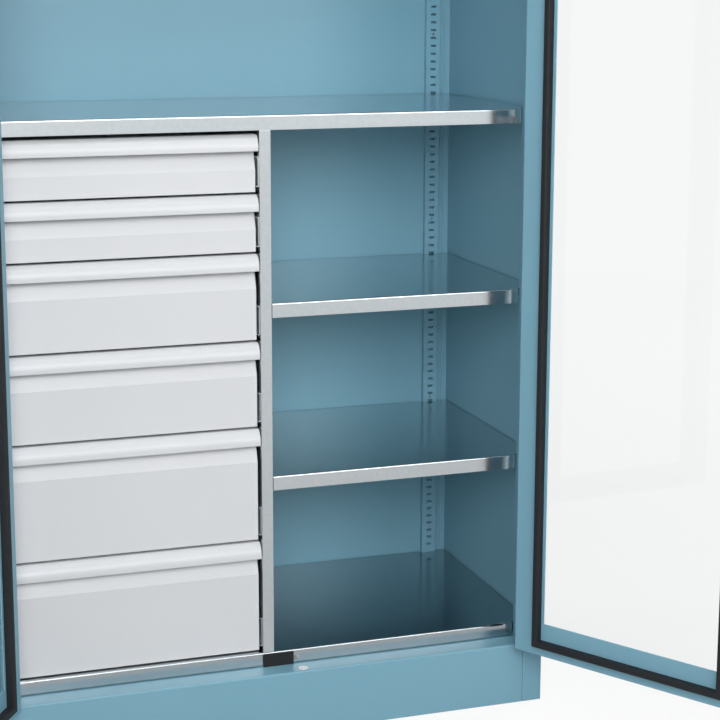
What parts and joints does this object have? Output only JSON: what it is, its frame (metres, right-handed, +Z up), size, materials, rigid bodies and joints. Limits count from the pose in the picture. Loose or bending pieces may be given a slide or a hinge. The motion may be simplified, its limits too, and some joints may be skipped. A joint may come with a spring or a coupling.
{
  "type": "heavy-duty cabinet",
  "caption": "Tall steel workshop cabinet with glazed swing doors, a bank of drawers on telescopic slides, a centre partition and galvanised shelves.",
  "frame": {"origin": "on the floor, under the middle of the carcass", "axes": "+Z up, +Y from the doors towards the back, +X to the right seen from the front"},
  "size_m": [1.4015, 0.9111, 1.95],
  "materials": {
    "blue_paint": "light blue powder coat, fine texture, satin",
    "galvanised_steel": "smooth galvanised sheet, half-bright",
    "zinc_plated_steel": "zinc plated, half-bright",
    "drawer_paint": "pale grey powder coat, satin",
    "grip_paint": "pale grey, semi-gloss",
    "clear_pane": "clear sheet",
    "black_rubber": "matt black",
    "white_nylon": "white moulding",
    "black_plastic": "matt black moulding",
    "black_casting": "matt black coat on a zinc die casting",
    "nickel": "polished nickel"
  },
  "bodies": {
    "carcass": {"right_side_panel": "blue_paint", "left_side_panel": "blue_paint", "rear_panel": "blue_paint", "top_panel": "blue_paint", "base_frame": "blue_paint", "rod_sockets": "white_nylon", "rear_uprights": "blue_paint", "floor_tray": "galvanised_steel", "full_shelf": "galvanised_steel", "upper_shelf": "galvanised_steel", "right_shelf_upper": "galvanised_steel", "right_shelf_lower": "galvanised_steel", "partition": "galvanised_steel", "drawer_housing_side": "galvanised_steel", "shelf_clips": "zinc_plated_steel", "drawer_rails": "zinc_plated_steel", "door_stop_pad": "black_rubber", "post_hinge_leaves": "zinc_plated_steel", "hinge_pins": "zinc_plated_steel"},
    "right_door": {"right_door_shell": "blue_paint", "right_door_inner_frame": "blue_paint", "right_door_pane": "clear_pane", "right_door_gasket": "black_rubber", "right_door_hinge_leaves": "zinc_plated_steel", "lock_case": "zinc_plated_steel", "lock_plate": "black_plastic", "key_cylinder": "nickel"},
    "left_door": {"left_door_shell": "blue_paint", "left_door_inner_frame": "blue_paint", "left_door_pane": "clear_pane", "left_door_gasket": "black_rubber", "left_door_hinge_leaves": "zinc_plated_steel"},
    "lever": {"lock_lever": "black_casting"},
    "rod_up": {"upper_rod": "zinc_plated_steel"},
    "rod_down": {"lower_rod": "zinc_plated_steel"},
    "drawer_1": {"drawer_1_tray": "drawer_paint", "drawer_1_front": "drawer_paint", "drawer_1_grip": "grip_paint"},
    "telescopes_1": {"drawer_1_telescopes": "zinc_plated_steel"},
    "drawer_2": {"drawer_2_tray": "drawer_paint", "drawer_2_front": "drawer_paint", "drawer_2_grip": "grip_paint"},
    "telescopes_2": {"drawer_2_telescopes": "zinc_plated_steel"},
    "drawer_3": {"drawer_3_tray": "drawer_paint", "drawer_3_front": "drawer_paint", "drawer_3_grip": "grip_paint"},
    "telescopes_3": {"drawer_3_telescopes": "zinc_plated_steel"},
    "drawer_4": {"drawer_4_tray": "drawer_paint", "drawer_4_front": "drawer_paint", "drawer_4_grip": "grip_paint"},
    "telescopes_4": {"drawer_4_telescopes": "zinc_plated_steel"},
    "drawer_5": {"drawer_5_tray": "drawer_paint", "drawer_5_front": "drawer_paint", "drawer_5_grip": "grip_paint"},
    "telescopes_5": {"drawer_5_telescopes": "zinc_plated_steel"},
    "drawer_6": {"drawer_6_tray": "drawer_paint", "drawer_6_front": "drawer_paint", "drawer_6_grip": "grip_paint"},
    "telescopes_6": {"drawer_6_telescopes": "zinc_plated_steel"}
  },
  "joints": [
    {"name": "right_door_hinge", "type": "hinge", "parent": "carcass", "child": "right_door", "pos_m": [0.461, -0.255, 0], "axis": [0, 0, 1], "range_deg": [-121.6, 53.4]},
    {"name": "left_door_hinge", "type": "hinge", "parent": "carcass", "child": "left_door", "pos_m": [-0.461, -0.255, 0], "axis": [0, 0, -1], "range_deg": [-121.6, 53.4]},
    {"name": "lock_turn", "type": "hinge", "parent": "right_door", "child": "lever", "pos_m": [0.68153, -0.62301, 1.01], "axis": [-0.8517, -0.524, 0], "range_deg": [0, 90]},
    {"name": "upper_rod_slide", "type": "slide", "parent": "right_door", "child": "rod_up", "axis": [0, 0, 1], "range_m": [0, 0.02]},
    {"name": "lower_rod_slide", "type": "slide", "parent": "right_door", "child": "rod_down", "axis": [0, 0, -1], "range_m": [0, 0.02]},
    {"name": "drawer_1_slide", "type": "slide", "parent": "carcass", "child": "drawer_1", "axis": [0, -1, 0], "range_m": [0, 0.36]},
    {"name": "telescopes_1_slide", "type": "slide", "parent": "carcass", "child": "telescopes_1", "axis": [0, -1, 0], "range_m": [0, 0.18]},
    {"name": "drawer_2_slide", "type": "slide", "parent": "carcass", "child": "drawer_2", "axis": [0, -1, 0], "range_m": [0, 0.36]},
    {"name": "telescopes_2_slide", "type": "slide", "parent": "carcass", "child": "telescopes_2", "axis": [0, -1, 0], "range_m": [0, 0.18]},
    {"name": "drawer_3_slide", "type": "slide", "parent": "carcass", "child": "drawer_3", "axis": [0, -1, 0], "range_m": [0, 0.36]},
    {"name": "telescopes_3_slide", "type": "slide", "parent": "carcass", "child": "telescopes_3", "axis": [0, -1, 0], "range_m": [0, 0.18]},
    {"name": "drawer_4_slide", "type": "slide", "parent": "carcass", "child": "drawer_4", "axis": [0, -1, 0], "range_m": [0, 0.36]},
    {"name": "telescopes_4_slide", "type": "slide", "parent": "carcass", "child": "telescopes_4", "axis": [0, -1, 0], "range_m": [0, 0.18]},
    {"name": "drawer_5_slide", "type": "slide", "parent": "carcass", "child": "drawer_5", "axis": [0, -1, 0], "range_m": [0, 0.36]},
    {"name": "telescopes_5_slide", "type": "slide", "parent": "carcass", "child": "telescopes_5", "axis": [0, -1, 0], "range_m": [0, 0.18]},
    {"name": "drawer_6_slide", "type": "slide", "parent": "carcass", "child": "drawer_6", "axis": [0, -1, 0], "range_m": [0, 0.36]},
    {"name": "telescopes_6_slide", "type": "slide", "parent": "carcass", "child": "telescopes_6", "axis": [0, -1, 0], "range_m": [0, 0.18]}
  ],
  "couplings": [
    {"joint": "upper_rod_slide", "follows": "lock_turn", "m_per_rad": 0.012732},
    {"joint": "lower_rod_slide", "follows": "lock_turn", "m_per_rad": 0.012732},
    {"joint": "telescopes_1_slide", "follows": "drawer_1_slide", "ratio": 0.5},
    {"joint": "telescopes_2_slide", "follows": "drawer_2_slide", "ratio": 0.5},
    {"joint": "telescopes_3_slide", "follows": "drawer_3_slide", "ratio": 0.5},
    {"joint": "telescopes_4_slide", "follows": "drawer_4_slide", "ratio": 0.5},
    {"joint": "telescopes_5_slide", "follows": "drawer_5_slide", "ratio": 0.5},
    {"joint": "telescopes_6_slide", "follows": "drawer_6_slide", "ratio": 0.5}
  ]
}
